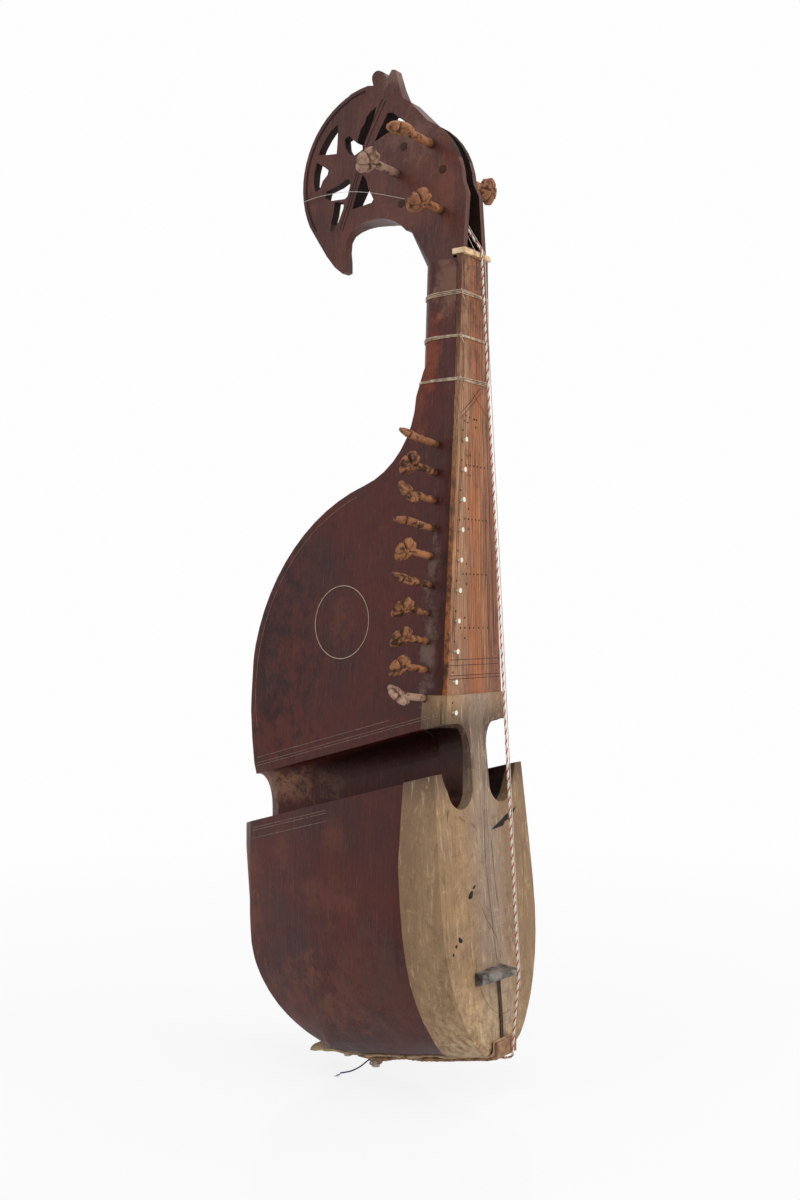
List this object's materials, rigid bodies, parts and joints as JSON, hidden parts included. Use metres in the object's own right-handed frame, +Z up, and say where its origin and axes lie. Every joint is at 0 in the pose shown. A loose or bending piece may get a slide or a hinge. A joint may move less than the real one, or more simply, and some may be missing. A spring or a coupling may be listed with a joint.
{
  "type": "rubab",
  "caption": "Deep-bodied plucked lute with a slanted waist, skin belly, pierced crescent head, turning tuning pegs in head and flank, and tied frets",
  "frame": {"origin": "on the axis of the tail button, halfway along its length", "axes": "+Z runs up along the strings towards the head, +X across the front to the right as seen from the front, and +Y from the front to the back; the belly faces -Y"},
  "size_m": [0.1807, 0.2902, 0.9371],
  "materials": {
    "dark_wood": "oiled and rubbed dark hardwood, worn warm at the edges",
    "board_wood": "rubbed hardwood, lighter along the worn edges",
    "peg_wood": "carved light hardwood, hand-worn",
    "goat_skin": "stretched goat parchment, aged yellow and grey",
    "bone": "polished bone",
    "horn": "dark horn with chalky wear",
    "gut": "tied gut",
    "dark_gut": "dark gut",
    "twisted_string": "red and white twisted thread",
    "tan_leather": "raw tan leather, curled at the edges",
    "brown_leather": "brown leather",
    "blue_thread": "dark blue cotton"
  },
  "bodies": {
    "rubab": {"body": "dark_wood", "head": "dark_wood", "fingerboard": "board_wood", "skin": "goat_skin", "nut": "bone", "bridge": "horn", "guide_pins": "bone", "melody_string": "twisted_string", "thin_string": "gut", "tail_gut": "dark_gut", "tail_strap_inner": "tan_leather", "tail_strap_outer": "brown_leather", "tail_button": "bone", "strap_button": "bone", "tail_thread": "blue_thread"},
    "fret_1": {"fret_1": "gut"},
    "fret_2": {"fret_2": "gut"},
    "fret_3": {"fret_3": "gut"},
    "main_peg_1": {"main_peg_1": "peg_wood"},
    "main_peg_2": {"main_peg_2": "peg_wood"},
    "main_peg_3": {"main_peg_3": "peg_wood"},
    "main_peg_4": {"main_peg_4": "peg_wood"},
    "main_peg_5": {"main_peg_5": "peg_wood"},
    "main_peg_6": {"main_peg_6": "peg_wood"},
    "sympathetic_peg_01": {"sympathetic_peg_01": "peg_wood"},
    "sympathetic_peg_02": {"sympathetic_peg_02": "peg_wood"},
    "sympathetic_peg_03": {"sympathetic_peg_03": "peg_wood"},
    "sympathetic_peg_04": {"sympathetic_peg_04": "peg_wood"},
    "sympathetic_peg_05": {"sympathetic_peg_05": "peg_wood"},
    "sympathetic_peg_06": {"sympathetic_peg_06": "peg_wood"},
    "sympathetic_peg_07": {"sympathetic_peg_07": "peg_wood"},
    "sympathetic_peg_08": {"sympathetic_peg_08": "peg_wood"},
    "sympathetic_peg_09": {"sympathetic_peg_09": "peg_wood"},
    "sympathetic_peg_10": {"sympathetic_peg_10": "peg_wood"}
  },
  "joints": [
    {"name": "turn_main_peg_1", "type": "hinge", "parent": "rubab", "child": "main_peg_1", "pos_m": [0, -0.071, 0.8471], "axis": [-1, 0, 0], "continuous": true},
    {"name": "turn_main_peg_2", "type": "hinge", "parent": "rubab", "child": "main_peg_2", "pos_m": [0, -0.033, 0.8271], "axis": [-1, 0, 0], "continuous": true},
    {"name": "turn_main_peg_3", "type": "hinge", "parent": "rubab", "child": "main_peg_3", "pos_m": [0, -0.084, 0.7841], "axis": [-1, 0, 0], "continuous": true},
    {"name": "turn_main_peg_4", "type": "hinge", "parent": "rubab", "child": "main_peg_4", "pos_m": [0, -0.04, 0.8511], "axis": [1, 0, 0], "continuous": true},
    {"name": "turn_main_peg_5", "type": "hinge", "parent": "rubab", "child": "main_peg_5", "pos_m": [0, -0.083, 0.8221], "axis": [1, 0, 0], "continuous": true},
    {"name": "turn_main_peg_6", "type": "hinge", "parent": "rubab", "child": "main_peg_6", "pos_m": [0, -0.039, 0.7981], "axis": [1, 0, 0], "continuous": true},
    {"name": "turn_sympathetic_peg_01", "type": "hinge", "parent": "rubab", "child": "sympathetic_peg_01", "pos_m": [-0.02765, -0.088, 0.5711], "axis": [-0.9936, 0, 0.1132], "continuous": true},
    {"name": "turn_sympathetic_peg_02", "type": "hinge", "parent": "rubab", "child": "sympathetic_peg_02", "pos_m": [-0.02979, -0.088, 0.5461], "axis": [-0.9936, 0, 0.1132], "continuous": true},
    {"name": "turn_sympathetic_peg_03", "type": "hinge", "parent": "rubab", "child": "sympathetic_peg_03", "pos_m": [-0.03194, -0.088, 0.5211], "axis": [-0.9936, 0, 0.1132], "continuous": true},
    {"name": "turn_sympathetic_peg_04", "type": "hinge", "parent": "rubab", "child": "sympathetic_peg_04", "pos_m": [-0.03408, -0.088, 0.4961], "axis": [-0.9936, 0, 0.1132], "continuous": true},
    {"name": "turn_sympathetic_peg_05", "type": "hinge", "parent": "rubab", "child": "sympathetic_peg_05", "pos_m": [-0.03623, -0.088, 0.4711], "axis": [-0.9936, 0, 0.1132], "continuous": true},
    {"name": "turn_sympathetic_peg_06", "type": "hinge", "parent": "rubab", "child": "sympathetic_peg_06", "pos_m": [-0.03837, -0.088, 0.4461], "axis": [-0.9936, 0, 0.1132], "continuous": true},
    {"name": "turn_sympathetic_peg_07", "type": "hinge", "parent": "rubab", "child": "sympathetic_peg_07", "pos_m": [-0.04052, -0.088, 0.4211], "axis": [-0.9936, 0, 0.1132], "continuous": true},
    {"name": "turn_sympathetic_peg_08", "type": "hinge", "parent": "rubab", "child": "sympathetic_peg_08", "pos_m": [-0.04266, -0.088, 0.3961], "axis": [-0.9936, 0, 0.1132], "continuous": true},
    {"name": "turn_sympathetic_peg_09", "type": "hinge", "parent": "rubab", "child": "sympathetic_peg_09", "pos_m": [-0.04481, -0.088, 0.3711], "axis": [-0.9936, 0, 0.1132], "continuous": true},
    {"name": "turn_sympathetic_peg_10", "type": "hinge", "parent": "rubab", "child": "sympathetic_peg_10", "pos_m": [-0.04695, -0.088, 0.3461], "axis": [-0.9936, 0, 0.1132], "continuous": true},
    {"name": "slide_fret_1", "type": "slide", "parent": "rubab", "child": "fret_1", "axis": [0, 0, 1], "range_m": [-0.002, 0.005]},
    {"name": "slide_fret_2", "type": "slide", "parent": "rubab", "child": "fret_2", "axis": [0, 0, 1], "range_m": [-0.002, 0.005]},
    {"name": "slide_fret_3", "type": "slide", "parent": "rubab", "child": "fret_3", "axis": [0, 0, 1], "range_m": [-0.002, 0.005]}
  ]
}
